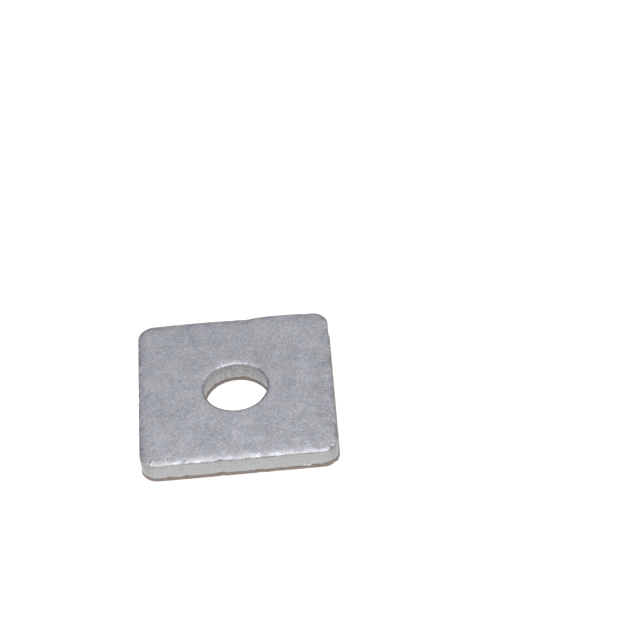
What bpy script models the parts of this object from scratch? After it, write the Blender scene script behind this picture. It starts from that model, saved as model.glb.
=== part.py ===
"""Square plate washer for a 12 mm bolt, punched from 4 mm plate and galvanised.

The washer lies flat: its hole's axis is Z, and its underside is on Z = 0.

One blow of the press makes both edges. From the top face down, each edge has
  a roll-over, where the plate was dragged down before it tore,
  a land, which the tool rubbed upright and smooth,
  a break-out, which tore on a slight slope, and
  a foot, whose sharp edge the zinc has rounded.
"""

import math

import bmesh
import bpy
from mathutils import Vector

# Main sizes, in metres
SIDE = 0.040
THICKNESS = 0.0043
CORNER_RADIUS = 0.0035
HOLE_DIAMETER = 0.0131

# Roll-over of the outline: how far it reaches in from the edge, and how deep it drops.
# The plate is dragged further at the corners, where two sides pull at once.
ROLL_WIDTH = 0.0022
ROLL_DEPTH = 0.00048
CORNER_ROLL_WIDTH = 0.0026
CORNER_ROLL_DEPTH = 0.00062
CORNER_ROLL_FADE = 0.0045

# Roll-over of the hole
HOLE_ROLL_WIDTH = 0.0014
HOLE_ROLL_DEPTH = 0.00032

# Below the roll-over. The break-out slopes more in the hole, where the die stood further off.
LAND_HEIGHT = 0.0014
BREAKOUT_TAPER = 0.00008
HOLE_BREAKOUT_TAPER = 0.00025
FOOT_ROUND = 0.00008

# Fineness of the mesh
SIDE_STEPS = 12
CORNER_STEPS = 12
ROLL_STEPS = 6
FOOT_STEPS = 3
SHARP_ANGLE = math.radians(40)

# Dull zinc, as linear colour
ZINC_COLOUR = (0.50, 0.51, 0.545, 1.0)
ZINC_ROUGHNESS = 0.55


def clear_scene():
    """Remove every object of the open file."""
    for thing in list(bpy.data.objects):
        bpy.data.objects.remove(thing, do_unlink=True)


def smooth_step(share):
    """Rise from 0 to 1 with a level start and a level end."""
    share = min(max(share, 0.0), 1.0)
    return share * share * (3.0 - 2.0 * share)


def quarter_turn(place, turns):
    """Turn a flat place about the hole's axis by so many quarter turns."""
    angle = math.radians(90) * turns
    return Vector((
        place.x * math.cos(angle) - place.y * math.sin(angle),
        place.x * math.sin(angle) + place.y * math.cos(angle),
    ))


def outline_stations():
    """Walk round the square with its rounded corners, starting at the middle of the +X side.

    Each station is its place, the way out of the plate there, and how much of the
    corner's deeper roll-over it has, from 0 on the sides to 1 round the corner.
    """
    half = SIDE / 2
    straight = half - CORNER_RADIUS
    quarter = []
    for step in range(SIDE_STEPS // 2):
        along = straight * step / (SIDE_STEPS // 2)
        corner = smooth_step(1.0 - (straight - along) / CORNER_ROLL_FADE)
        quarter.append((Vector((half, along)), Vector((1.0, 0.0)), corner))
    for step in range(CORNER_STEPS + 1):
        angle = math.radians(90) * step / CORNER_STEPS
        outward = Vector((math.cos(angle), math.sin(angle)))
        place = Vector((straight, straight)) + CORNER_RADIUS * outward
        quarter.append((place, outward, 1.0))
    for step in range(SIDE_STEPS // 2 - 1, 0, -1):
        along = straight * step / (SIDE_STEPS // 2)
        corner = smooth_step(1.0 - (straight - along) / CORNER_ROLL_FADE)
        quarter.append((Vector((along, half)), Vector((0.0, 1.0)), corner))
    stations = []
    for turns in range(4):
        for place, outward, corner in quarter:
            stations.append((quarter_turn(place, turns), quarter_turn(outward, turns), corner))
    return stations


def hole_stations(count):
    """Walk round the hole in even steps. The way out of the plate is towards the axis."""
    stations = []
    for step in range(count):
        angle = math.radians(360) * step / count
        outward = Vector((-math.cos(angle), -math.sin(angle)))
        stations.append((-outward * HOLE_DIAMETER / 2, outward, 0.0))
    return stations


def edge_profile(roll_width, roll_depth, taper):
    """Section of a punched edge, as (distance in from the edge, height), from the top down."""
    profile = []
    for step in range(ROLL_STEPS + 1):
        share = step / ROLL_STEPS
        profile.append((roll_width * (1.0 - share), THICKNESS - roll_depth * share ** 2))
    profile.append((0.0, THICKNESS - roll_depth - LAND_HEIGHT))
    for step in range(FOOT_STEPS + 1):
        angle = math.radians(90) * step / FOOT_STEPS
        inset = taper + FOOT_ROUND * (1.0 - math.cos(angle))
        profile.append((inset, FOOT_ROUND * (1.0 - math.sin(angle))))
    return profile


def edge_rings(stations, widths, depths, taper):
    """Set the section of a punched edge at every station, and gather it into rings."""
    sections = []
    for place, outward, corner in stations:
        width = widths[0] + (widths[1] - widths[0]) * corner
        depth = depths[0] + (depths[1] - depths[0]) * corner
        section = []
        for inset, height in edge_profile(width, depth, taper):
            spot = place - outward * inset
            section.append(Vector((spot.x, spot.y, height)))
        sections.append(section)
    return [list(ring) for ring in zip(*sections)]


def loft_closed(name, rings):
    """Join each ring to the next with faces, and the last ring to the first."""
    mesh = bpy.data.meshes.new(name)
    shape = bmesh.new()
    loops = []
    for ring in rings:
        loops.append([shape.verts.new(spot) for spot in ring])
    count = len(rings[0])
    for row, loop in enumerate(loops):
        after = loops[(row + 1) % len(loops)]
        for column in range(count):
            beside = (column + 1) % count
            shape.faces.new((loop[column], after[column], after[beside], loop[beside]))
    bmesh.ops.recalc_face_normals(shape, faces=shape.faces[:])
    shape.to_mesh(mesh)
    shape.free()
    mesh.shade_smooth()
    mesh.set_sharp_from_angle(angle=SHARP_ANGLE)
    return mesh


def zinc_material():
    """Dull grey zinc, as it comes out of the galvanising bath."""
    zinc = bpy.data.materials.new("dull_zinc")
    zinc.use_nodes = True
    shader = zinc.node_tree.nodes["Principled BSDF"]
    shader.inputs["Base Color"].default_value = ZINC_COLOUR
    shader.inputs["Metallic"].default_value = 1.0
    shader.inputs["Roughness"].default_value = ZINC_ROUGHNESS
    return zinc


def build_washer():
    """Make the washer: down its outline, in under it, and up through its hole."""
    outline = outline_stations()
    outer = edge_rings(
        outline,
        (ROLL_WIDTH, CORNER_ROLL_WIDTH),
        (ROLL_DEPTH, CORNER_ROLL_DEPTH),
        BREAKOUT_TAPER,
    )
    hole = edge_rings(
        hole_stations(len(outline)),
        (HOLE_ROLL_WIDTH, HOLE_ROLL_WIDTH),
        (HOLE_ROLL_DEPTH, HOLE_ROLL_DEPTH),
        HOLE_BREAKOUT_TAPER,
    )
    mesh = loft_closed("plate_washer", outer + hole[::-1])
    mesh.materials.append(zinc_material())
    washer = bpy.data.objects.new("plate_washer", mesh)
    bpy.context.scene.collection.objects.link(washer)
    return washer


clear_scene()
build_washer()
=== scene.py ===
# %% [markdown]
# # A galvanised square plate washer
#
# The real washer is one piece. A press punches the square and its round hole out of flat steel plate
# in one blow, and the blank is then dipped in molten zinc. There is nothing to take apart, so all that
# makes it look real is in its edges and its skin.
#
# The lesson builds one finely divided mesh that follows the imported solid, lets the zinc coat stand
# slightly uneven on it, gives it the marks that this one washer has, and finishes it with a few node
# groups. The first lines load the imported solid as a fixed frame. The new mesh takes over its looks
# and never its size.

# %% Load the imported washer
import math

import bpy
import numpy as np
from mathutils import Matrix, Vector, noise


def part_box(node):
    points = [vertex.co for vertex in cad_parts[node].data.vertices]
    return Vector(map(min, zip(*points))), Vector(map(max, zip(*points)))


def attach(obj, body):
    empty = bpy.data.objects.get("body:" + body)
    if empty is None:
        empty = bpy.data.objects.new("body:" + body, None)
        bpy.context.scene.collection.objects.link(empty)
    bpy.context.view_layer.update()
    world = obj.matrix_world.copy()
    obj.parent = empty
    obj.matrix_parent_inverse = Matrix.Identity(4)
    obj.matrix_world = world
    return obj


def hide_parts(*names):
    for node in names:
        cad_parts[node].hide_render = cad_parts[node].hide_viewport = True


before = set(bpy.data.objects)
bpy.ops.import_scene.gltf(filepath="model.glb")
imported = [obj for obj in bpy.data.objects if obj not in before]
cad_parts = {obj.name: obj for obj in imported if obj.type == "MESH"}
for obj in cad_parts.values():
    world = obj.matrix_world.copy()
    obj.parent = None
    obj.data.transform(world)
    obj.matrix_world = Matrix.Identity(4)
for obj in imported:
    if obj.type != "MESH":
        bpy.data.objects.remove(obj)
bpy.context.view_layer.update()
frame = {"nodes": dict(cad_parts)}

print(f"solids: {', '.join(frame['nodes'])}")

# %% [markdown]
# ## Take the sizes from the solid
#
# The side, the thickness, the hole and the corner radius could be typed in again, but then they could
# drift away from the solid. Measuring them on its mesh keeps one source for each size. The hole is
# the nearest that any vertex comes to the axis, and the corner radius follows from how far the
# diagonal is cut back.

# %% Measure the solid
MM = 0.001
NODE = "plate_washer"
LOW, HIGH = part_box(NODE)
HALF_SIDE = (HIGH.x - LOW.x) / 2
THICKNESS = HIGH.z - LOW.z
SOLID_POINTS = [vertex.co for vertex in frame["nodes"][NODE].data.vertices]
HOLE_RADIUS = min(math.hypot(spot.x, spot.y) for spot in SOLID_POINTS)
DIAGONAL = max(abs(spot.x) + abs(spot.y) for spot in SOLID_POINTS) / math.sqrt(2)
CORNER_RADIUS = (HALF_SIDE * math.sqrt(2) - DIAGONAL) / (math.sqrt(2) - 1)
print(
    f"washer: {HALF_SIDE * 2 / MM:.2f} mm square, {THICKNESS / MM:.2f} mm thick, "
    f"hole {HOLE_RADIUS * 2 / MM:.2f} mm, corner radius {CORNER_RADIUS / MM:.2f} mm"
)

# %% [markdown]
# ## Walk round the outline and the hole
#
# A bevel on a square would give the same round everywhere. A punched edge isn't like that: the plate
# is dragged down further at the corners. So the mesh is a loft. It needs matching stations on the
# outline and on the hole, each with its place, the way out of the plate there, and how much of the
# corner's deeper drag it has. The hole's stations lie on the same bearings as the outline's, which
# keeps the faces between them even.

# %% Stations
SIDE_STEPS = 128
CORNER_STEPS = 24
CORNER_FADE = 4.5 * MM


def smooth_step(share):
    """Rise from 0 to 1 with a level start and a level end."""
    share = np.clip(share, 0.0, 1.0)
    return share * share * (3.0 - 2.0 * share)


def outline_stations():
    """Place, outward way and corner share at each station, from the middle of the +X side."""
    straight = HALF_SIDE - CORNER_RADIUS
    along = np.linspace(0.0, straight, SIDE_STEPS // 2 + 1)[:-1]
    corner = smooth_step(1.0 - (straight - along) / CORNER_FADE)
    turn = np.linspace(0.0, math.pi / 2, CORNER_STEPS + 1)
    arc = np.stack([np.cos(turn), np.sin(turn)], axis=1)
    ones, zeros = np.ones_like(along), np.zeros_like(along)
    place = np.concatenate([
        np.stack([HALF_SIDE * ones, along], axis=1),
        straight + CORNER_RADIUS * arc,
        np.stack([along, HALF_SIDE * ones], axis=1)[:0:-1],
    ])
    outward = np.concatenate([
        np.stack([ones, zeros], axis=1),
        arc,
        np.stack([zeros, ones], axis=1)[:0:-1],
    ])
    drag = np.concatenate([corner, np.ones(len(turn)), corner[:0:-1]])
    quarter_turn = np.array([[0.0, 1.0], [-1.0, 0.0]])
    places, ways = [place], [outward]
    for _ in range(3):
        places.append(places[-1] @ quarter_turn)
        ways.append(ways[-1] @ quarter_turn)
    return np.concatenate(places), np.concatenate(ways), np.tile(drag, 4)


def hole_stations(outline):
    """Stations on the hole at the outline's bearings. The way out of the plate is towards the axis."""
    bearing = outline / np.linalg.norm(outline, axis=1, keepdims=True)
    return bearing * HOLE_RADIUS, -bearing


OUTLINE, OUTLINE_WAY, CORNER_DRAG = outline_stations()
HOLE, HOLE_WAY = hole_stations(OUTLINE)
print(f"stations: {len(OUTLINE)}, {SIDE_STEPS} to a side and {CORNER_STEPS} to a corner")

# %% [markdown]
# ## The section of a punched edge
#
# From the top face down, a punched edge has a roll-over, where the plate was dragged down before it
# tore, an upright land that the tool rubbed smooth, a break-out that tore on a slight slope, and a
# foot. The roll-over isn't a quarter circle. It leaves the flat face so gently that nobody can say
# where it starts, and it is steepest at the edge, where it ends in a crest that the zinc has
# softened. A power curve does that with one number: 2 would be a parabola, and a higher power keeps
# the drop nearer to the edge. That last slope is what catches the light in a bright band along the
# near edge and along the hole's far rim.
#
# One function gives the section for any width, depth and power, and the outline and the hole both
# use it. The corners have a depth and a power each, in the order far right, far left, near left, near
# right. The hole's roll-over is the narrower and sharper one, and its break-out slopes more.

# %% Edge section
ROLL_WIDTH = 3.1 * MM
ROLL_DEPTH = 0.54 * MM
CORNER_ROLL_DEPTHS = np.array([0.46, 0.46, 0.66, 0.54]) * MM
HOLE_ROLL_WIDTH = 2.0 * MM
HOLE_ROLL_DEPTH = 0.38 * MM
ROLL_POWER = 2.8
CORNER_ROLL_POWERS = np.array([2.8, 2.8, 2.8, 3.0])
HOLE_ROLL_POWER = 4.6
CREST_RADIUS = 0.09 * MM
LAND_HEIGHT = 1.4 * MM
BREAKOUT_TAPER = 0.08 * MM
HOLE_BREAKOUT_TAPER = 0.25 * MM
FOOT_ROUND = 0.06 * MM
FOOT_RAG = 0.85 * MM
FAR_LEAN = 0.30

ROLL_STEPS = 12
CREST_STEPS = 3
WALL_STEPS = 15
FOOT_STEPS = 3


def edge_section(width, depth, power, taper, foot):
    """Section as (distance in from the edge, height) columns, for every station at once."""
    slope = np.arctan2(power * depth, width)
    crest_inset = CREST_RADIUS * (1.0 - np.sin(slope))
    crest_floor = THICKNESS - depth - CREST_RADIUS * np.cos(slope)
    rows = []
    for share in np.linspace(0.0, 1.0, ROLL_STEPS + 1):
        inset = width - (width - crest_inset) * share
        rows.append((inset, THICKNESS - depth * share ** power))
    for share in np.linspace(0.0, 1.0, CREST_STEPS + 1)[1:]:
        angle = slope + (math.pi / 2 - slope) * share
        inset = CREST_RADIUS * (1.0 - np.sin(angle))
        rows.append((inset, crest_floor + CREST_RADIUS * np.cos(angle)))
    breakout = crest_floor - LAND_HEIGHT
    for share in np.linspace(0.0, 1.0, WALL_STEPS + 1)[1:]:
        height = crest_floor + (foot - crest_floor) * share
        torn = np.clip((breakout - height) / (breakout - foot), 0.0, 1.0)
        rows.append((taper * torn, height))
    for angle in np.linspace(0.0, math.pi / 2, FOOT_STEPS + 1)[1:]:
        rows.append((taper + foot * (1.0 - math.cos(angle)), foot * (1.0 - math.sin(angle))))
    return rows


print(
    f"roll-over: {ROLL_WIDTH / MM:.2f} mm wide and {ROLL_DEPTH / MM:.2f} mm deep on the sides, "
    f"ending at a slope of {math.degrees(math.atan2(ROLL_POWER * ROLL_DEPTH, ROLL_WIDTH)):.0f} degrees"
)

# %% [markdown]
# ## No edge runs true
#
# On the real washer the line where the roll-over meets the land wanders a little and is nicked here
# and there, and the foot is ragged where the plate tore. The far side was also dragged down less than
# the near one, and its edge is calmer. Random numbers would give a jagged line. A noise that varies
# smoothly along the edge gives wander, and the same noise at a smaller size, cut off below a
# threshold, gives a nick only now and then.

# %% Wander along the edges
WANDER_LENGTH = 3.2 * MM
WANDER_SHARE = 0.16
NICK_LENGTH = 0.9 * MM
NICK_FROM = 0.34
NICK_SHARE = 0.7
FAR_CALM = 0.7
RAG_LENGTH = 2.4 * MM
FINE_RAG_LENGTH, FINE_RAG_SHARE = 0.8 * MM, 0.5

# Where each noise is read, so that no two lines wander alike
OUTLINE_SEED, HOLE_SEED, NICK_SEED = 2.0, 5.0, 7.3
FOOT_SEED, HOLE_FOOT_SEED, FINE_RAG_SEED = 17.0, 19.0, 3.1


def edge_noise(places, length, seed):
    """Smooth noise from -1 to 1 along an edge, whose features are about this long."""
    return np.array([noise.noise(Vector((x / length, y / length, seed))) for x, y in places])


def wandering(places, value, seed):
    """A roll-over's depth at each station, wandering and nicked, but calmer towards the far side."""
    wander = WANDER_SHARE * edge_noise(places, WANDER_LENGTH, seed)
    nicks = np.clip(edge_noise(places, NICK_LENGTH, seed + NICK_SEED) - NICK_FROM, 0.0, 1.0)
    lively = 1.0 - FAR_CALM * smooth_step(places[:, 1] / HALF_SIDE)
    return value * (1.0 + lively * (wander + NICK_SHARE * nicks))


def ragged_foot(places, seed):
    """The foot's rounding at each station: small, and now and then torn back further."""
    torn = edge_noise(places, RAG_LENGTH, seed)
    torn += FINE_RAG_SHARE * edge_noise(places, FINE_RAG_LENGTH, seed + FINE_RAG_SEED)
    return FOOT_ROUND + FOOT_RAG * np.clip(torn, 0.0, 1.0)


roll_width = np.full(len(OUTLINE), ROLL_WIDTH)
side_depth = ROLL_DEPTH * (1.0 - FAR_LEAN * (OUTLINE[:, 1] / HALF_SIDE + 1.0) / 2.0)
corner_depth = np.repeat(CORNER_ROLL_DEPTHS, len(OUTLINE) // 4)
true_depth = side_depth + (corner_depth - side_depth) * CORNER_DRAG
roll_depth = wandering(OUTLINE, true_depth, OUTLINE_SEED)
corner_power = np.repeat(CORNER_ROLL_POWERS, len(OUTLINE) // 4)
roll_power = ROLL_POWER + (corner_power - ROLL_POWER) * CORNER_DRAG
foot_round = ragged_foot(OUTLINE, FOOT_SEED)
hole_foot_round = ragged_foot(HOLE, HOLE_FOOT_SEED)
hole_roll_width = np.full(len(HOLE), HOLE_ROLL_WIDTH)
hole_roll_depth = wandering(HOLE, np.full(len(HOLE), HOLE_ROLL_DEPTH), HOLE_SEED)
print(f"roll-over depth: {roll_depth.min() / MM:.2f} to {roll_depth.max() / MM:.2f} mm")

# %% [markdown]
# ## Loft the washer
#
# The rings run down the outline, in under the washer, up through the hole and out over the top face,
# and the last ring joins the first. That closes the mesh with quads alone, with no poles and no
# boolean cuts, so the shading stays clean.

# %% Rings and mesh
TOP_STEPS = 40
UNDER_STEPS = 28


def edge_rings(places, ways, rows):
    """Set the section at every station and return its rings, from the top down."""
    rings = []
    for inset, height in rows:
        flat = places - ways * inset[:, None]
        rings.append(np.column_stack([flat, height]))
    return rings


def rings_between(first, last, steps):
    """Rings that lead evenly from one ring to another, without the two themselves."""
    return [first + (last - first) * share for share in np.linspace(0.0, 1.0, steps + 1)[1:-1]]


outer_rings = edge_rings(
    OUTLINE, OUTLINE_WAY,
    edge_section(roll_width, roll_depth, roll_power, BREAKOUT_TAPER, foot_round),
)
hole_section = edge_section(
    hole_roll_width, hole_roll_depth, HOLE_ROLL_POWER, HOLE_BREAKOUT_TAPER, hole_foot_round,
)
inner_rings = edge_rings(HOLE, HOLE_WAY, hole_section)[::-1]
under_rings = rings_between(outer_rings[-1], inner_rings[0], UNDER_STEPS)
top_rings = rings_between(inner_rings[-1], outer_rings[0], TOP_STEPS)
RINGS = outer_rings + under_rings + inner_rings + top_rings

ring_count, station_count = len(RINGS), len(OUTLINE)
points = np.concatenate(RINGS)
row, column = np.meshgrid(np.arange(ring_count), np.arange(station_count), indexing="ij")
next_row, next_column = (row + 1) % ring_count, (column + 1) % station_count
quads = np.stack([
    row * station_count + column,
    next_row * station_count + column,
    next_row * station_count + next_column,
    row * station_count + next_column,
], axis=-1).reshape(-1, 4)

mesh = bpy.data.meshes.new("galvanised_washer")
mesh.from_pydata(points.tolist(), [], quads.tolist())
mesh.update()
print(f"mesh: {ring_count} rings, {len(mesh.polygons)} quads, {2 * len(mesh.polygons)} triangles")

# %% [markdown]
# ## Where the painted edge lines run
#
# Two thin dark lines show on the real edge, and here both are painted shade. One runs under the crest,
# where the roll-over turns into the land. It comes and goes, and in the hole it is hardly there. The
# other runs along the foot. Just above the crest a painted sheen, which comes and goes as well,
# brightens and dims the bright band. All three follow the rings of the mesh, so they are stored on
# its vertices as shares from 0 to 1, and the finish reads them back and decides how dark or bright
# they are.

# %% Painted edge lines on the vertices
CREST_ROW = ROLL_STEPS + CREST_STEPS
SECTION_ROWS = CREST_ROW + WALL_STEPS + FOOT_STEPS + 1
# Painted shade under the crest and at the foot, and a painted sheen above the crest, by section row
CREST_PAINTED_SHADE_ROWS = {CREST_ROW - 1: 0.2, CREST_ROW: 0.9, CREST_ROW + 1: 0.4}
FOOT_PAINTED_SHADE_ROWS = {
    SECTION_ROWS - 4: 0.3, SECTION_ROWS - 3: 1.0, SECTION_ROWS - 2: 1.0, SECTION_ROWS - 1: 1.0,
}
CREST_PAINTED_SHEEN_ROWS = {
    CREST_ROW - 7: 0.2, CREST_ROW - 6: 0.45, CREST_ROW - 5: 0.7, CREST_ROW - 4: 0.9,
    CREST_ROW - 3: 1.0, CREST_ROW - 2: 1.0, CREST_ROW - 1: 0.8,
}
EDGE_PAINTED_LIGHT = {  # shares by row of the section, and the part of them that the hole has
    "crest_line_painted_shade": (CREST_PAINTED_SHADE_ROWS, 0.15),
    "crest_painted_sheen": (CREST_PAINTED_SHEEN_ROWS, 0.5),
    "foot_line_painted_shade": (FOOT_PAINTED_SHADE_ROWS, 1.0),
}
INNER_FOOT = len(outer_rings) + len(under_rings)


def store_rows(name, shares, hole_part):
    """Store shares on the rings of these section rows. The hole gets this part of them."""
    rows = np.zeros(ring_count)
    for section_row, share in shares.items():
        rows[section_row] = share
        rows[INNER_FOOT + SECTION_ROWS - 1 - section_row] = share * hole_part
    attribute = mesh.attributes.new(name, "FLOAT", "POINT")
    attribute.data.foreach_set("value", np.repeat(rows, station_count).astype(np.float32))


for painted_name, (painted_shares, hole_part) in EDGE_PAINTED_LIGHT.items():
    store_rows(painted_name, painted_shares, hole_part)
print(f"edge lines: {', '.join(EDGE_PAINTED_LIGHT)}")

# %% [markdown]
# ## The coat of zinc
#
# Zinc freezes on the steel as a skin that is nowhere quite flat. Slow swells bend the reflections a
# little, small lumps break them up, and on the roll-over the drag has left fine folds with broader
# pleats among them, which run straight out over the edge. All of this is real height on the mesh,
# because it shows in the outline and in the highlights. Each vertex moves along its own normal. Only
# the grain, finer than the mesh, is left to the material.

# %% Relief of the coat
SWELL_LENGTH, SWELL_HEIGHT = 6.0 * MM, 0.011 * MM
LUMP_LENGTH, LUMP_HEIGHT = 1.3 * MM, 0.006 * MM
FOLD_LENGTH, FOLD_HEIGHT = 0.55 * MM, 0.036 * MM
PLEAT_LENGTH, PLEAT_SHARE = 1.3 * MM, 0.8
LUMP_SEED = Vector((3.0, 8.0, 1.0))
FOLD_SEED, PLEAT_SEED, HOLE_FOLD_SEED = 11.0, 12.0, 13.0
FACING_DOWN = -0.5


def coat_height(spot):
    """Height of the coat's swells and lumps over a place."""
    swell = noise.noise(Vector(spot) / SWELL_LENGTH)
    lump = noise.noise(Vector(spot) / LUMP_LENGTH + LUMP_SEED)
    return SWELL_HEIGHT * swell + LUMP_HEIGHT * lump


def fold_heights():
    """Height of the folds on every ring: none on the flats, most just above the crest."""
    folds = np.zeros((ring_count, station_count))
    outline_folds = edge_noise(OUTLINE, FOLD_LENGTH, FOLD_SEED)
    outline_folds += PLEAT_SHARE * edge_noise(OUTLINE, PLEAT_LENGTH, PLEAT_SEED)
    hole_folds = edge_noise(HOLE, FOLD_LENGTH, HOLE_FOLD_SEED)
    inner_top = INNER_FOOT + SECTION_ROWS - 1
    for ring in range(CREST_ROW):
        share = math.sin(math.pi * (ring / CREST_ROW) ** 2)
        folds[ring] = share * outline_folds
        folds[inner_top - ring] = share * hole_folds
    return FOLD_HEIGHT * folds.ravel()


normals = np.empty(len(points) * 3, np.float32)
mesh.vertices.foreach_get("normal", normals)
normals = normals.reshape(-1, 3)
relief = np.array([coat_height(spot) for spot in points.tolist()]) + fold_heights()
under = (points[:, 2] < FOOT_ROUND) & (normals[:, 2] < FACING_DOWN)
relief[under] = -np.abs(relief[under])
points = points + normals * relief[:, None]
print(f"coat relief: {relief.min() / MM:.3f} to {relief.max() / MM:.3f} mm")

# %% [markdown]
# ## Marks that this one washer has
#
# Noise makes any washer. These few marks make this one: a chipped lump at the near right corner, a
# drip of zinc low on the front, nibs along the near edge, nicks in the left one, and a far edge that
# is hollow in the middle and stands a little higher to the right of it. Each mark is a round bump or
# dent with a place, a radius and a height, all in millimetres, and moves the vertices near it.

# %% Lumps and nicks
MARKS = {
    "corner_lump": ((19.5, -18.5, 3.90), 0.45, 0.15),
    "corner_chip": ((19.0, -19.3, 3.72), 0.42, -0.34),
    "zinc_drip": ((13.8, -20.0, 0.25), 0.36, 0.22),
    "drip_tail": ((12.95, -20.0, 0.37), 0.22, 0.14),
    "near_nib_1": ((3.6, -20.0, 3.78), 0.28, -0.12),
    "near_nib_2": ((7.1, -20.0, 3.82), 0.26, -0.12),
    "near_nib_3": ((5.2, -20.0, 3.85), 0.30, 0.08),
    "near_nib_4": ((-11.66, -19.75, 3.90), 0.26, -0.20),
    "near_nib_5": ((-3.7, -20.0, 3.78), 0.40, -0.22),
    "near_gap_1": ((4.4, -19.9, 3.90), 0.45, -0.07),
    "near_gap_2": ((7.8, -19.7, 3.95), 0.45, -0.06),
    "left_nick": ((-19.9, -1.4, 3.80), 0.45, -0.20),
    "left_nick_2": ((-19.8, 0.7, 3.90), 0.40, -0.10),
    "far_dent": ((2.9, 20.0, 3.80), 1.60, -0.16),
    "far_hollow": ((0.4, 20.0, 3.80), 3.60, -0.10),
    "far_rise": ((9.5, 20.0, 3.85), 4.00, 0.14),
    "wall_spot_1": ((-3.2, -20.0, 3.30), 0.35, -0.05),
    "wall_spot_2": ((-13.3, -20.0, 3.15), 0.45, -0.06),
    "wall_spot_3": ((-17.6, -20.0, 2.40), 0.55, -0.07),
}

for place, radius, height in MARKS.values():
    apart = np.linalg.norm(points - np.array(place) * MM, axis=1)
    lift = height * MM * np.exp(-(apart / (radius * MM)) ** 2)
    points = points + normals * lift[:, None]
points[:, 2] = np.maximum(points[:, 2], 0.0)

mesh.vertices.foreach_set("co", points.astype(np.float32).ravel())
mesh.update()
mesh.shade_smooth()
print(f"marks: {len(MARKS)}, height of the washer now {points[:, 2].max() / MM:.2f} mm")

# %% [markdown]
# ## A small kit for node trees
#
# Every finish below is made of nodes. A few short helpers keep the lines readable: one adds a node
# and sets its values, one starts a group with named inputs and outputs, and one puts a group into a
# material. Four more stand for sums that come up again and again. A group is worth having where more
# than one material uses the same effect.

# %% Node helpers


def add_node(tree, kind, values=None, **settings):
    """Add a node, set its properties, and set its inputs by name or number."""
    node = tree.nodes.new(kind)
    for name, setting in settings.items():
        setattr(node, name, setting)
    for socket, value in (values or {}).items():
        node.inputs[socket].default_value = value
    return node


def new_group(name, inputs, outputs):
    """Start a node group and return its tree, its input node and its output node."""
    tree = bpy.data.node_groups.new(name, "ShaderNodeTree")
    for socket, kind, value in inputs:
        made = tree.interface.new_socket(name=socket, in_out="INPUT", socket_type=kind)
        if value is not None:
            made.default_value = value
    for socket, kind in outputs:
        tree.interface.new_socket(name=socket, in_out="OUTPUT", socket_type=kind)
    return tree, tree.nodes.new("NodeGroupInput"), tree.nodes.new("NodeGroupOutput")


def place_group(tree, group, values):
    """Put a group into a material with that material's own values."""
    return add_node(tree, "ShaderNodeGroup", values, node_tree=group)


def product(tree, first, second):
    """Multiply two values."""
    node = add_node(tree, "ShaderNodeMath", operation="MULTIPLY")
    tree.links.new(first, node.inputs[0])
    tree.links.new(second, node.inputs[1])
    return node.outputs[0]


def added(tree, value, factor, total):
    """Add a value, times a fixed factor, to a running total."""
    node = add_node(tree, "ShaderNodeMath", {1: factor}, operation="MULTIPLY_ADD")
    tree.links.new(value, node.inputs[0])
    tree.links.new(total, node.inputs[2])
    return node.outputs[0]


def shade_about_one(tree, value, contrast):
    """Turn a noise that runs about 0.5 into a shade that runs about 1."""
    centred = add_node(tree, "ShaderNodeMath", {1: 0.5}, operation="SUBTRACT")
    tree.links.new(value, centred.inputs[0])
    shade = add_node(tree, "ShaderNodeMath", {2: 1.0}, operation="MULTIPLY_ADD")
    tree.links.new(centred.outputs[0], shade.inputs[0])
    tree.links.new(contrast, shade.inputs[1])
    return shade.outputs[0]


def place_over(tree, source, size_name):
    """Divide a group's place by one of its sizes."""
    sizes = add_node(tree, "ShaderNodeCombineXYZ")
    for axis in "XYZ":
        tree.links.new(source.outputs[size_name], sizes.inputs[axis])
    scaled = add_node(tree, "ShaderNodeVectorMath", operation="DIVIDE")
    tree.links.new(source.outputs["Place"], scaled.inputs[0])
    tree.links.new(sizes.outputs[0], scaled.inputs[1])
    return scaled.outputs[0]


HELPERS = (add_node, new_group, place_group, product, added, shade_about_one, place_over)
print(f"helpers: {', '.join(helper.__name__ for helper in HELPERS)}")

# %% [markdown]
# ## Clouds in the zinc
#
# Seen from a step away, the coat is cloudy: cool blue-grey patches a few millimetres wide drift into
# warmer, slightly darker ones. Zinc and its first pale oxide make them. Painting the clouds would fix
# them to one picture, and one noise alone looks like fog. Two noises of different size, the larger
# one stretching the smaller, give patches with soft but uneven borders.
#
# The group puts out a shade to multiply the colour with, and a warmth that picks between the cool
# and the warm grey.

# %% Group: zinc clouds
FLOAT, VECTOR = "NodeSocketFloat", "NodeSocketVector"
FLECK_SCALE = 3.7       # how many times finer the small noise is
FLECK_SHARE = 0.45
WARM_FROM, WARM_TO = 0.36, 0.62


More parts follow.
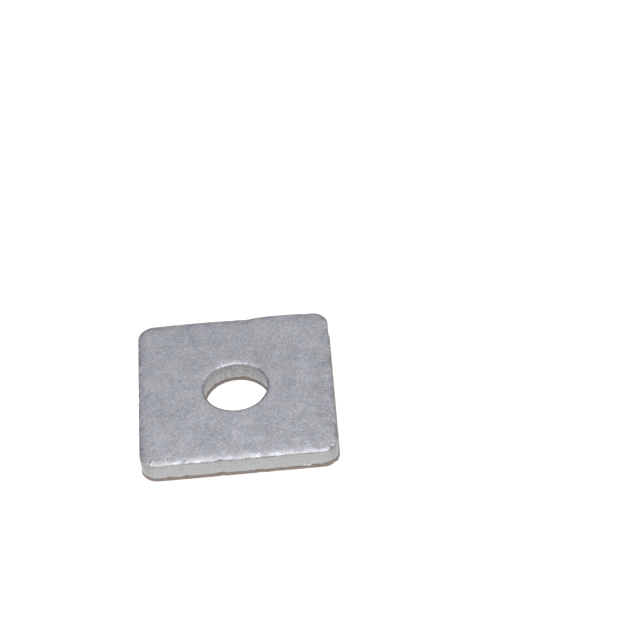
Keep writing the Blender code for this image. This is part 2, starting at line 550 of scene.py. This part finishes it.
def make_clouds():
    """Cloudy shade and warmth over a place in millimetres."""
    tree, source, result = new_group(
        "Zinc clouds",
        [("Place", VECTOR, None), ("Patch size", FLOAT, 4.0), ("Contrast", FLOAT, 0.1)],
        [("Shade", FLOAT), ("Warmth", FLOAT)],
    )
    link = tree.links.new
    scaled = place_over(tree, source, "Patch size")
    patches = add_node(
        tree, "ShaderNodeTexNoise",
        {"Scale": 1.0, "Detail": 3.0, "Roughness": 0.55, "Distortion": 0.6},
    )
    flecks = add_node(
        tree, "ShaderNodeTexNoise",
        {"Scale": FLECK_SCALE, "Detail": 3.0, "Roughness": 0.6, "Distortion": 0.3},
    )
    link(scaled, patches.inputs["Vector"])
    link(scaled, flecks.inputs["Vector"])
    blend = add_node(tree, "ShaderNodeMix", {"Factor": FLECK_SHARE}, data_type="FLOAT")
    link(patches.outputs["Fac"], blend.inputs["A"])
    link(flecks.outputs["Fac"], blend.inputs["B"])
    shade = shade_about_one(tree, blend.outputs["Result"], source.outputs["Contrast"])
    link(shade, result.inputs["Shade"])
    warmth = add_node(
        tree, "ShaderNodeMapRange",
        {"From Min": WARM_FROM, "From Max": WARM_TO}, interpolation_type="SMOOTHSTEP",
    )
    link(patches.outputs["Fac"], warmth.inputs["Value"])
    link(warmth.outputs["Result"], result.inputs["Warmth"])
    return tree


CLOUDS = make_clouds()
print(f"group: {CLOUDS.name}")

# %% [markdown]
# ## Grain of the frozen zinc
#
# Up close the skin is grainy: crystals about a quarter of a millimetre across, some a touch lighter,
# some darker, and slightly raised. This is finer than the mesh, so it goes into the colour and into
# the Height of a Bump node. Noise gives the soft lighter and darker grains. A Voronoi texture gives
# each crystal a number of its own, and the few with the highest numbers become sparks. The sparks
# brighten the colour as painted glints, and lower the roughness as well.

# %% Group: zinc grain
GRAINS_PER_SIZE = 0.62
SPARK_RIM, SPARK_CORE = 0.45, 0.1


def make_grain():
    """Fine shade, height and sparks over a place in millimetres."""
    tree, source, result = new_group(
        "Zinc grain",
        [("Place", VECTOR, None), ("Grain size", FLOAT, 0.3), ("Contrast", FLOAT, 0.2),
         ("Spark share", FLOAT, 0.04)],
        [("Shade", FLOAT), ("Height", FLOAT), ("Sparks", FLOAT), ("Tint", FLOAT)],
    )
    link = tree.links.new
    scaled = place_over(tree, source, "Grain size")
    grains = add_node(
        tree, "ShaderNodeTexNoise",
        {"Scale": GRAINS_PER_SIZE, "Detail": 2.0, "Roughness": 0.6},
    )
    link(scaled, grains.inputs["Vector"])
    shade = shade_about_one(tree, grains.outputs["Fac"], source.outputs["Contrast"])
    link(shade, result.inputs["Shade"])
    link(grains.outputs["Fac"], result.inputs["Height"])
    crystals = add_node(tree, "ShaderNodeTexVoronoi", {"Scale": 1.0, "Randomness": 1.0})
    link(scaled, crystals.inputs["Vector"])
    parts = add_node(tree, "ShaderNodeSeparateColor")
    link(crystals.outputs["Color"], parts.inputs[0])
    cut = add_node(tree, "ShaderNodeMath", {0: 1.0}, operation="SUBTRACT")
    link(source.outputs["Spark share"], cut.inputs[1])
    lit = add_node(tree, "ShaderNodeMath", operation="GREATER_THAN")
    link(parts.outputs[0], lit.inputs[0])
    link(cut.outputs[0], lit.inputs[1])
    core = add_node(tree, "ShaderNodeMapRange", {"From Min": SPARK_RIM, "From Max": SPARK_CORE})
    link(crystals.outputs["Distance"], core.inputs["Value"])
    link(product(tree, lit.outputs[0], core.outputs["Result"]), result.inputs["Sparks"])
    link(parts.outputs[1], result.inputs["Tint"])
    return tree


GRAIN = make_grain()
print(f"group: {GRAIN.name}")

# %% [markdown]
# ## Pin pits
#
# Here and there the bath left a pit no bigger than a pin's point, and it shows as a small dark dot.
# Scattering them by hand would take a list. A sparse Voronoi texture puts a dot in only a few of its
# cells, and the group turns the distance to the cell's centre into a soft round mask.

# %% Group: pin pits
PIT_CORE = 0.2          # share of a pit's radius that is dark all over


def make_pits():
    """A mask of scattered pits over a place in millimetres."""
    tree, source, result = new_group(
        "Pin pits",
        [("Place", VECTOR, None), ("Spacing", FLOAT, 2.4), ("Radius", FLOAT, 0.2),
         ("Share", FLOAT, 0.3)],
        [("Pits", FLOAT)],
    )
    link = tree.links.new
    cells = add_node(tree, "ShaderNodeTexVoronoi", {"Scale": 1.0, "Randomness": 1.0})
    link(place_over(tree, source, "Spacing"), cells.inputs["Vector"])
    relative = add_node(tree, "ShaderNodeMath", operation="DIVIDE")
    link(product(tree, cells.outputs["Distance"], source.outputs["Spacing"]), relative.inputs[0])
    link(source.outputs["Radius"], relative.inputs[1])
    dot = add_node(
        tree, "ShaderNodeMapRange",
        {"From Min": 1.0, "From Max": PIT_CORE}, interpolation_type="SMOOTHSTEP",
    )
    link(relative.outputs[0], dot.inputs["Value"])
    parts = add_node(tree, "ShaderNodeSeparateColor")
    link(cells.outputs["Color"], parts.inputs[0])
    chosen = add_node(tree, "ShaderNodeMath", operation="LESS_THAN")
    link(parts.outputs[0], chosen.inputs[0])
    link(source.outputs["Share"], chosen.inputs[1])
    link(product(tree, dot.outputs["Result"], chosen.outputs[0]), result.inputs["Pits"])
    return tree


PITS = make_pits()
print(f"group: {PITS.name}")

# %% [markdown]
# ## Single marks
#
# A few marks on this washer are its own and are only colour: dark pits by the near left corner, a
# pale rub that leads out from the hole, a fine scratch and dark dashes under the crest of the front
# wall. Others are painted light: broad dull patches of painted shade over the bright band at the near
# corners, beside the right edge and on the wall's corners, a painted highlight on the near edge, and
# the drip at the wall's foot, whose pale and dark marks stand partly for its highlight and shadow.
# Each is the set of places close to a line. The group measures the distance to that line and turns it
# into a soft mask, so a pit is only a very short scratch.

# %% Group: zinc mark
MARK_CORE = 0.1         # share of a mark's half width that has its full strength


def make_mark():
    """A mask round the line from Start to End, in millimetres."""
    tree, source, result = new_group(
        "Zinc mark",
        [("Place", VECTOR, None), ("Start", VECTOR, None), ("End", VECTOR, None),
         ("Half width", FLOAT, 0.2)],
        [("Mask", FLOAT)],
    )
    link = tree.links.new
    along = add_node(tree, "ShaderNodeVectorMath", operation="SUBTRACT")
    link(source.outputs["End"], along.inputs[0])
    link(source.outputs["Start"], along.inputs[1])
    away = add_node(tree, "ShaderNodeVectorMath", operation="SUBTRACT")
    link(source.outputs["Place"], away.inputs[0])
    link(source.outputs["Start"], away.inputs[1])
    reach = add_node(tree, "ShaderNodeVectorMath", operation="DOT_PRODUCT")
    link(away.outputs[0], reach.inputs[0])
    link(along.outputs[0], reach.inputs[1])
    length = add_node(tree, "ShaderNodeVectorMath", operation="DOT_PRODUCT")
    link(along.outputs[0], length.inputs[0])
    link(along.outputs[0], length.inputs[1])
    share = add_node(tree, "ShaderNodeMath", operation="DIVIDE", use_clamp=True)
    link(reach.outputs["Value"], share.inputs[0])
    link(length.outputs["Value"], share.inputs[1])
    foot = add_node(tree, "ShaderNodeVectorMath", operation="SCALE")
    link(along.outputs[0], foot.inputs[0])
    link(share.outputs[0], foot.inputs[3])
    gap = add_node(tree, "ShaderNodeVectorMath", operation="DISTANCE")
    link(away.outputs[0], gap.inputs[0])
    link(foot.outputs[0], gap.inputs[1])
    relative = add_node(tree, "ShaderNodeMath", operation="DIVIDE")
    link(gap.outputs["Value"], relative.inputs[0])
    link(source.outputs["Half width"], relative.inputs[1])
    soft = add_node(
        tree, "ShaderNodeMapRange",
        {"From Min": 1.0, "From Max": MARK_CORE}, interpolation_type="SMOOTHSTEP",
    )
    link(relative.outputs[0], soft.inputs["Value"])
    link(soft.outputs["Result"], result.inputs["Mask"])
    return tree


MARK = make_mark()
print(f"group: {MARK.name}")

# %% [markdown]
# ## Three sets of values
#
# The rolled faces, the outer walls and the bore were coated in the same bath. The walls came out
# plainer, because the tool had rubbed the steel there, and their paler grey stands partly for the
# white table that they mirror, as painted light. The bore is darker, as painted shade. All three are
# therefore one function with three sets of values. On the walls painted shade also changes with
# height: they are darker near the crest than below, and the bore much darker. On the face painted
# light makes the near side paler than the far one.

# %% Values of the finishes
FACE_FINISH = {
    "cool": (0.460, 0.479, 0.552),
    "warm": (0.501, 0.481, 0.451),
    "patch_size": 4.2,
    "cloud_contrast": 1.15,
    "grain_size": 0.22,
    "grain_contrast": 1.27,
    "spark_share": 0.05,
    "painted_glint_gain": 1.5,
    "tint_share": 0.92,
    "roughness": 0.36,
    "bump": 0.018,
    "pit_share": 0.16,
    # Painted shade by height and painted light from the near to the far side; 1 means none
    "crest_height_painted_shade": 1.0,
    "foot_height_painted_shade": 1.0,
    "near_painted_light": 1.09,
    "far_painted_shade": 0.98,
}
WALL_FINISH = {
    # Paler grey than the face, partly painted light for the white table that the walls mirror
    "cool": (0.566, 0.570, 0.579),
    "warm": (0.574, 0.570, 0.564),
    "patch_size": 3.0,
    "cloud_contrast": 0.30,
    "grain_size": 0.30,
    "grain_contrast": 0.45,
    "spark_share": 0.01,
    "painted_glint_gain": 0.30,
    "tint_share": 0.60,
    "roughness": 0.52,
    "bump": 0.010,
    "pit_share": 0.10,
    "crest_height_painted_shade": 0.96,
    "foot_height_painted_shade": 1.04,
    "near_painted_light": 1.0,
    "far_painted_shade": 1.0,
}
BORE_FINISH = {
    **WALL_FINISH,
    "cloud_contrast": 0.90,
    "grain_contrast": 1.15,
    "pit_share": 0.25,
    # Painted shade: the bore darker than the walls, most near its crest
    "crest_height_painted_shade": 0.69,
    "foot_height_painted_shade": 0.83,
}
print(f"finishes: face, wall and bore, with {len(FACE_FINISH)} values each")

# %% [markdown]
# ## Where the marks are
#
# Each mark is a line, a half width and a strength, which is how much lighter or darker it makes the
# shade. Two numbers are enough for a spot. On the top face they are x and y, because the roll-over
# gives the height there, and on the front wall they are x and the height. Only where the wall turns a
# corner does a spot need a third number, its y.

# %% Marks in colour
FACE_MARKS_AND_PAINTED_LIGHT = [  # start and end as (x, y), half width, strength
    ((-14.40, -18.80), (-14.20, -18.72), 0.26, -0.45),
    ((-8.34, -18.15), (-8.24, -18.10), 0.24, -0.50),
    ((-12.15, -17.40), (-12.05, -17.40), 0.22, -0.45),
    ((-13.90, -16.70), (-13.55, -16.60), 0.22, -0.40),
    ((-9.30, 4.30), (-6.40, 3.10), 0.45, 0.10),
    ((-4.45, 6.60), (-3.65, 5.10), 0.14, -0.14),
    # Painted shade from here: dull patches over the bright band at the near corners and beside the
    # right edge
    ((-18.50, -18.75), (-16.20, -18.80), 1.25, -0.27),
    ((15.60, -19.00), (18.20, -18.80), 1.30, -0.22),
    ((17.50, -13.50), (17.50, 3.00), 2.30, -0.09),
    # Painted shade, then a painted highlight, along the near edge's bright band
    ((-15.30, -19.40), (-11.00, -19.40), 1.00, -0.11),
    ((-9.60, -19.40), (-5.80, -19.40), 0.90, 0.14),
]
WALL_MARKS_AND_PAINTED_LIGHT = [  # start and end as (x, z) on the front wall, or (x, z, y) where it turns a corner
    ((18.20, 3.60, -19.55), (19.35, 3.66, -18.55), 0.26, -0.50),
    # The drip: pale marks that stand partly for its highlight, and a dark mark that is its painted
    # shadow
    ((12.85, 0.40), (13.05, 0.34), 0.32, 0.40),
    ((13.65, 0.28), (14.00, 0.20), 0.40, 0.50),
    ((13.55, 0.52), (13.80, 0.44), 0.16, -0.60),
    ((3.35, 3.58), (3.75, 3.66), 0.18, -0.50),
    ((5.10, 3.56), (5.60, 3.66), 0.18, -0.45),
    ((6.90, 3.58), (7.25, 3.72), 0.18, -0.40),
    ((-18.10, 3.66), (-17.80, 3.60), 0.18, -0.40),
    ((-17.50, 3.32), (-16.90, 3.25), 0.20, -0.15),
    ((-13.25, 3.22), (-12.95, 3.20), 0.18, -0.15),
    ((-17.90, 2.55), (-17.20, 2.45), 0.24, -0.14),
    ((-16.60, 2.60), (-13.90, 2.75), 0.12, -0.06),
    # Painted shade: the wall is darker where it turns round the near corners
    ((-18.80, 2.40, -19.20), (-18.80, 2.00, -19.20), 1.90, -0.11),
    ((19.40, 2.60, -18.80), (19.40, 1.60, -18.80), 2.80, -0.12),
]


def face_spot(x, y):
    """A spot on the top face in millimetres, at the height that the roll-over leaves there."""
    inset = (HALF_SIDE / MM - max(abs(x), abs(y))) / (ROLL_WIDTH / MM)
    share = min(max(1.0 - inset, 0.0), 1.0)
    return x, y, (THICKNESS - ROLL_DEPTH * share ** ROLL_POWER) / MM


def wall_spot(x, z, y=-HALF_SIDE / MM):
    """A spot on the front wall in millimetres, or with its own y where the wall turns a corner."""
    return x, y, z


def painted_marks(tree, link, place, total, marks, spot_of):
    """Add marks to a running shade, lighter or darker."""
    for start, end, half_width, strength in marks:
        mark = place_group(tree, MARK, {
            "Start": spot_of(*start), "End": spot_of(*end), "Half width": half_width,
        })
        link(place, mark.inputs["Place"])
        total = added(tree, mark.outputs["Mask"], strength, total)
    return total


print(f"marks in colour: {len(FACE_MARKS_AND_PAINTED_LIGHT)} on the face and {len(WALL_MARKS_AND_PAINTED_LIGHT)} on the wall")

# %% [markdown]
# ## How dark the painted edge lines are
#
# A painted line of one even darkness would look drawn. So the stored share says where a line runs,
# and a noise says how dark it is there. Where the noise is low, the painted shade under the crest
# fades and the painted sheen above it is at its brightest. The painted shade at the foot is dark all
# along.

# %% Painted shade of the edge lines
# Painted shade of the crest line and the foot, and the crest's painted sheen
EDGE_PAINTED_DARK = {  # how much darker, where the patches are low and where they are high
    "crest_line_painted_shade": (-0.06, 0.46),
    "crest_painted_sheen": (-0.19, 0.18),
    "foot_line_painted_shade": (0.15, 0.15),
}
PATCHES_PER_MM = 0.7
PATCHES_FROM, PATCHES_TO = 0.38, 0.62


def painted_edge_light(tree, link, place):
    """Painted shade of the edge lines and painted sheen on the crest: 1 where there is none."""
    patches = add_node(
        tree, "ShaderNodeTexNoise",
        {"Scale": PATCHES_PER_MM, "Detail": 2.0, "Roughness": 0.6},
    )
    link(place, patches.inputs["Vector"])
    total = None
    for name, (low, high) in EDGE_PAINTED_DARK.items():
        darker = add_node(
            tree, "ShaderNodeMapRange",
            {"From Min": PATCHES_FROM, "From Max": PATCHES_TO, "To Min": -low, "To Max": -high},
        )
        link(patches.outputs["Fac"], darker.inputs["Value"])
        line = add_node(tree, "ShaderNodeAttribute", attribute_name=name)
        shade = add_node(tree, "ShaderNodeMath", {2: 1.0}, operation="MULTIPLY_ADD")
        link(line.outputs["Fac"], shade.inputs[0])
        link(darker.outputs["Result"], shade.inputs[1])
        if total is not None:
            link(total, shade.inputs[2])
        total = shade.outputs[0]
    return total


print(f"edge lines with a shade: {', '.join(EDGE_PAINTED_DARK)}")

# %% [markdown]
# ## One zinc finish
#
# Each finish starts from a cool and a warm grey. Clouds and single crystals mix the two, and one
# running shade then collects the grain, the sparks, the pits, the marks, the painted light and shade
# and the painted edge lines before it meets the colour. The Principled shader stays in the material
# itself. Metallic is 1 all over and is set on the socket. The rings of the mesh say which finish each
# face gets.

# %% Zinc materials
PIT_SHADE, PIT_HEIGHT = -0.35, -0.8
ROUGHNESS_SPREAD = 0.05
SPARK_ROUGHNESS = -0.12


def zinc(name, finish, marks, spot_of):
    """One zinc finish: clouds, grain, sparks, pits, marks and painted light and shade over a metallic
    shader.
    """
    material = bpy.data.materials.new(name)
    material.use_nodes = True
    tree = material.node_tree
    link = tree.links.new
    shader = tree.nodes["Principled BSDF"]
    shader.inputs["Metallic"].default_value = 1.0

    where = add_node(tree, "ShaderNodeTexCoord")
    place = add_node(tree, "ShaderNodeVectorMath", {3: 1.0 / MM}, operation="SCALE")
    link(where.outputs["Object"], place.inputs[0])
    clouds = place_group(tree, CLOUDS, {
        "Patch size": finish["patch_size"], "Contrast": finish["cloud_contrast"],
    })
    grain = place_group(tree, GRAIN, {
        "Grain size": finish["grain_size"], "Contrast": finish["grain_contrast"],
        "Spark share": finish["spark_share"],
    })
    pits = place_group(tree, PITS, {"Share": finish["pit_share"]})
    for group in (clouds, grain, pits):
        link(place.outputs[0], group.inputs["Place"])

    tone = add_node(tree, "ShaderNodeMix", data_type="RGBA")
    tone.inputs["A"].default_value = (*finish["cool"], 1.0)
    tone.inputs["B"].default_value = (*finish["warm"], 1.0)
    mottle = add_node(tree, "ShaderNodeMix", {"Factor": finish["tint_share"]}, data_type="FLOAT")
    link(clouds.outputs["Warmth"], mottle.inputs["A"])
    link(grain.outputs["Tint"], mottle.inputs["B"])
    link(mottle.outputs["Result"], tone.inputs["Factor"])

    parts = add_node(tree, "ShaderNodeSeparateXYZ")
    link(place.outputs[0], parts.inputs[0])
    # Painted shade by height: the walls, and above all the bore, are darker near the crest
    painted_height_shade = add_node(
        tree, "ShaderNodeMapRange",
        {"From Min": 0.0, "From Max": (THICKNESS - ROLL_DEPTH) / MM,
         "To Min": finish["foot_height_painted_shade"], "To Max": finish["crest_height_painted_shade"]},
    )
    link(parts.outputs["Z"], painted_height_shade.inputs["Value"])
    # Painted light: the face is paler on the near side than on the far one
    painted_side_light = add_node(
        tree, "ShaderNodeMapRange",
        {"From Min": -HALF_SIDE / MM, "From Max": HALF_SIDE / MM,
         "To Min": finish["near_painted_light"], "To Max": finish["far_painted_shade"]},
    )
    link(parts.outputs["Y"], painted_side_light.inputs["Value"])
    shade = product(tree, clouds.outputs["Shade"], grain.outputs["Shade"])
    # Painted glints: the sparks brighten the colour
    shade = added(tree, grain.outputs["Sparks"], finish["painted_glint_gain"], shade)
    shade = added(tree, pits.outputs["Pits"], PIT_SHADE, shade)
    shade = painted_marks(tree, link, place.outputs[0], shade, marks, spot_of)
    shade = product(tree, shade, painted_height_shade.outputs["Result"])
    shade = product(tree, shade, painted_side_light.outputs["Result"])
    shade = product(tree, shade, painted_edge_light(tree, link, place.outputs[0]))
    colour = add_node(tree, "ShaderNodeVectorMath", operation="SCALE")
    link(tone.outputs["Result"], colour.inputs[0])
    link(shade, colour.inputs[3])
    link(colour.outputs[0], shader.inputs["Base Color"])

    rough = add_node(
        tree, "ShaderNodeMapRange",
        {"To Min": finish["roughness"] - ROUGHNESS_SPREAD,
         "To Max": finish["roughness"] + ROUGHNESS_SPREAD},
    )
    link(clouds.outputs["Warmth"], rough.inputs["Value"])
    glint = added(tree, grain.outputs["Sparks"], SPARK_ROUGHNESS, rough.outputs["Result"])
    link(glint, shader.inputs["Roughness"])

    height = added(tree, pits.outputs["Pits"], PIT_HEIGHT, grain.outputs["Height"])
    bump = add_node(tree, "ShaderNodeBump", {"Strength": 1.0, "Distance": finish["bump"] * MM})
    link(height, bump.inputs["Height"])
    link(bump.outputs["Normal"], shader.inputs["Normal"])
    return material


mesh.materials.append(zinc("face_zinc", FACE_FINISH, FACE_MARKS_AND_PAINTED_LIGHT, face_spot))
mesh.materials.append(zinc("wall_zinc", WALL_FINISH, WALL_MARKS_AND_PAINTED_LIGHT, wall_spot))
mesh.materials.append(zinc("bore_zinc", BORE_FINISH, [], wall_spot))
ring_finish = np.zeros(ring_count, np.int32)
ring_finish[CREST_ROW:SECTION_ROWS - 1] = 1
ring_finish[INNER_FOOT:INNER_FOOT + SECTION_ROWS - 1 - CREST_ROW] = 2
mesh.polygons.foreach_set("material_index", np.repeat(ring_finish, station_count))
print(f"materials: {[material.name for material in mesh.materials]}")

# %% [markdown]
# ## Put the washer in the solid's place
#
# The finished mesh rides on the same body as the solid and stands in for it.

# %% Place the washer
washer = bpy.data.objects.new("galvanised_washer", mesh)
bpy.context.scene.collection.objects.link(washer)
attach(washer, "root")
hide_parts(NODE)
print(f"placed: {washer.name}, which stands in for {NODE}")

# %% [markdown]
# ## A pale table
#
# The washer lies on a plain table that comes out white and keeps a narrow dark shadow. One floor
# can't do both jobs with one set of lights: lit until it is white, it would throw too much light on
# the zinc. So the table is a pale, slightly warm sheet with a lamp of its own, and to the metal, which
# meets it by glossy rays, it is a plain white of level 1. The walls then mirror a white table however
# bright that lamp is.

# %% Floor
FLOOR_SIZE = 2.4
FLOOR_COLOUR = (0.56, 0.47, 0.41)
FLOOR_ROUGHNESS = 0.9
FLOOR_DROP = 0.01 * MM
FLOOR_MIRRORED = 1.0


def make_floor():
    """A large square that catches the washer's shadow."""
    half = FLOOR_SIZE / 2
    sheet = bpy.data.meshes.new("floor")
    ends = [(-half, -half, 0.0), (half, -half, 0.0), (half, half, 0.0), (-half, half, 0.0)]
    sheet.from_pydata(ends, [], [(0, 1, 2, 3)])
    material = bpy.data.materials.new("white_table")
    material.use_nodes = True
    tree = material.node_tree
    link = tree.links.new
    shader = tree.nodes["Principled BSDF"]
    shader.inputs["Base Color"].default_value = (*FLOOR_COLOUR, 1.0)
    shader.inputs["Roughness"].default_value = FLOOR_ROUGHNESS
    shader.inputs["Specular IOR Level"].default_value = 0.0
    rays = add_node(tree, "ShaderNodeLightPath")
    mirrored = add_node(tree, "ShaderNodeMath", operation="MAXIMUM")
    link(rays.outputs["Is Glossy Ray"], mirrored.inputs[0])
    link(rays.outputs["Is Transmission Ray"], mirrored.inputs[1])
    white = add_node(tree, "ShaderNodeEmission", {"Strength": FLOOR_MIRRORED})
    seen = add_node(tree, "ShaderNodeMixShader")
    link(mirrored.outputs[0], seen.inputs["Fac"])
    link(shader.outputs["BSDF"], seen.inputs[1])
    link(white.outputs["Emission"], seen.inputs[2])
    link(seen.outputs["Shader"], tree.nodes["Material Output"].inputs["Surface"])
    sheet.materials.append(material)
    floor = bpy.data.objects.new("floor", sheet)
    floor.location.z = -FLOOR_DROP
    bpy.context.scene.collection.objects.link(floor)
    return floor


floor = make_floor()
print(f"table: {FLOOR_SIZE} m square")

# %% [markdown]
# ## A sky laid out by height
#
# Metal shows what is round it. The flat top mirrors what lies behind the washer at the height of the
# eye, the rolled near edge mirrors what is overhead, and the walls mirror the table. So the sky is
# dimmest at the horizon and rises towards the top, which leaves the face a calm grey. It is also
# lower to both sides and a little lower in front, which darkens the roll-overs that face left and
# right.

# %% Sky
HORIZON_LEVEL = 0.48
ZENITH_LEVEL = 0.930
SIDE_TILT = 0.06
SIDE_SHADE, SIDE_FALL = 0.24, (0.6, 1.25)
FRONT_SHADE, FRONT_FALL = 0.14, (0.1, -0.5)
SKY_TINT = (0.970, 0.987, 1.038)


def make_sky():
    """A plain sky: its level rises with height, and falls to both sides and in front."""
    world = bpy.data.worlds.new("studio")
    bpy.context.scene.world = world
    world.use_nodes = True
    tree = world.node_tree
    link = tree.links.new
    where = add_node(tree, "ShaderNodeTexCoord")
    parts = add_node(tree, "ShaderNodeSeparateXYZ")
    link(where.outputs["Generated"], parts.inputs[0])
    level = add_node(
        tree, "ShaderNodeMapRange",
        {"From Min": 0.0, "From Max": 1.0, "To Min": HORIZON_LEVEL, "To Max": ZENITH_LEVEL},
    )
    link(parts.outputs["Z"], level.inputs["Value"])
    tilt = added(tree, parts.outputs["X"], SIDE_TILT, level.outputs["Result"])
    lean = add_node(tree, "ShaderNodeMath", operation="DIVIDE")
    link(parts.outputs["X"], lean.inputs[0])
    link(parts.outputs["Z"], lean.inputs[1])
    aside = add_node(tree, "ShaderNodeMath", operation="ABSOLUTE")
    link(lean.outputs[0], aside.inputs[0])
    fall = add_node(
        tree, "ShaderNodeMapRange",
        {"From Min": SIDE_FALL[0], "From Max": SIDE_FALL[1], "To Min": 0.0, "To Max": -SIDE_SHADE},
        interpolation_type="SMOOTHSTEP",
    )
    link(aside.outputs[0], fall.inputs["Value"])
    side = add_node(tree, "ShaderNodeMath", operation="ADD")
    link(tilt, side.inputs[0])
    link(fall.outputs["Result"], side.inputs[1])
    front = add_node(
        tree, "ShaderNodeMapRange",
        {"From Min": FRONT_FALL[0], "From Max": FRONT_FALL[1], "To Min": 0.0,
         "To Max": -FRONT_SHADE},
        interpolation_type="SMOOTHSTEP",
    )
    link(parts.outputs["Y"], front.inputs["Value"])
    total = add_node(tree, "ShaderNodeMath", operation="ADD")
    link(side.outputs[0], total.inputs[0])
    link(front.outputs["Result"], total.inputs[1])
    background = tree.nodes["Background"]
    background.inputs["Color"].default_value = (*SKY_TINT, 1.0)
    link(total.outputs[0], background.inputs["Strength"])


make_sky()
print(f"sky: {HORIZON_LEVEL} at the horizon and {ZENITH_LEVEL} at the top")

# %% [markdown]
# ## Two lamps
#
# One large soft lamp hangs overhead. It puts the bright band on the near edge and on the hole's far
# rim, and it lights the washer alone.
#
# The shadow is a matter for a second lamp, small and far up behind the washer, which lights the table
# and nothing else. Its tint is the opposite of the table's, so that the lit table is a neutral white
# and only the shadow, which the sky fills, stays warm.

# %% Lamps
SOFT_TINT = (1.0, 0.995, 0.985)
SOFT_PLACE = Vector((0.01, -0.15, 0.33))
SOFT_SIZE = (0.44, 0.34)
SOFT_RADIANCE = 0.95
KEY_PLACE = Vector((-0.04, 0.215, 1.20))
KEY_SIZE = (0.06, 0.06)
KEY_RADIANCE = 3000.0
KEY_TINT = (0.732, 0.872, 1.0)


def make_lamp(name, place, size, radiance, tint, lit):
    """A flat lamp aimed at the washer, which lights one object and no other."""
    light = bpy.data.lights.new(name, "AREA")
    light.shape = "RECTANGLE"
    light.color = tint
    light.size, light.size_y = size
    light.energy = radiance * math.pi * size[0] * size[1]
    lamp = bpy.data.objects.new(name, light)
    lamp.location = place
    lamp.rotation_euler = (-place).to_track_quat("-Z", "Y").to_euler()
    bpy.context.scene.collection.objects.link(lamp)
    receivers = bpy.data.collections.new(name + "_lights")
    receivers.objects.link(lit)
    lamp.light_linking.receiver_collection = receivers


make_lamp("overhead_softbox", SOFT_PLACE, SOFT_SIZE, SOFT_RADIANCE, SOFT_TINT, washer)
make_lamp("table_lamp", KEY_PLACE, KEY_SIZE, KEY_RADIANCE, KEY_TINT, floor)
print(f"lamps: a softbox of {SOFT_SIZE[0]} by {SOFT_SIZE[1]} m, and one for the table")

# %% [markdown]
# ## The camera
#
# The view is a long lens from in front, nearly half-way up, tipped a little to one side. The aim is
# where the lens's axis meets the table: it lies off the washer, because the washer sits low and left
# in the frame. Turning the camera about its own axis last keeps the aim where it is.

# %% Camera
AIM = Vector((18.44, 21.52, 0.10)) * MM
DISTANCE = 520.7 * MM
ELEVATION = math.radians(43.90)
BEARING = math.radians(0.31)
TIP = math.radians(-5.38)
LENS = 137.68
SENSOR = 36.0
CLIP_START, CLIP_END = 0.01, 10.0


def make_camera():
    """A camera on a sphere round the aim, looking at it."""
    back = Vector((
        math.sin(BEARING) * math.cos(ELEVATION),
        -math.cos(BEARING) * math.cos(ELEVATION),
        math.sin(ELEVATION),
    ))
    data = bpy.data.cameras.new("camera")
    data.lens = LENS
    data.sensor_width = SENSOR
    data.clip_start = CLIP_START
    data.clip_end = CLIP_END
    camera = bpy.data.objects.new("camera", data)
    camera.location = AIM + back * DISTANCE
    level = (-back).to_track_quat("-Z", "Y").to_matrix()
    camera.rotation_euler = level.to_euler()
    camera.rotation_euler.rotate_axis("Z", TIP)
    bpy.context.scene.collection.objects.link(camera)
    bpy.context.scene.camera = camera


make_camera()
bpy.context.scene.view_settings.view_transform = "Standard"
print(f"camera: {LENS} mm lens, {DISTANCE / MM:.0f} mm from its aim")
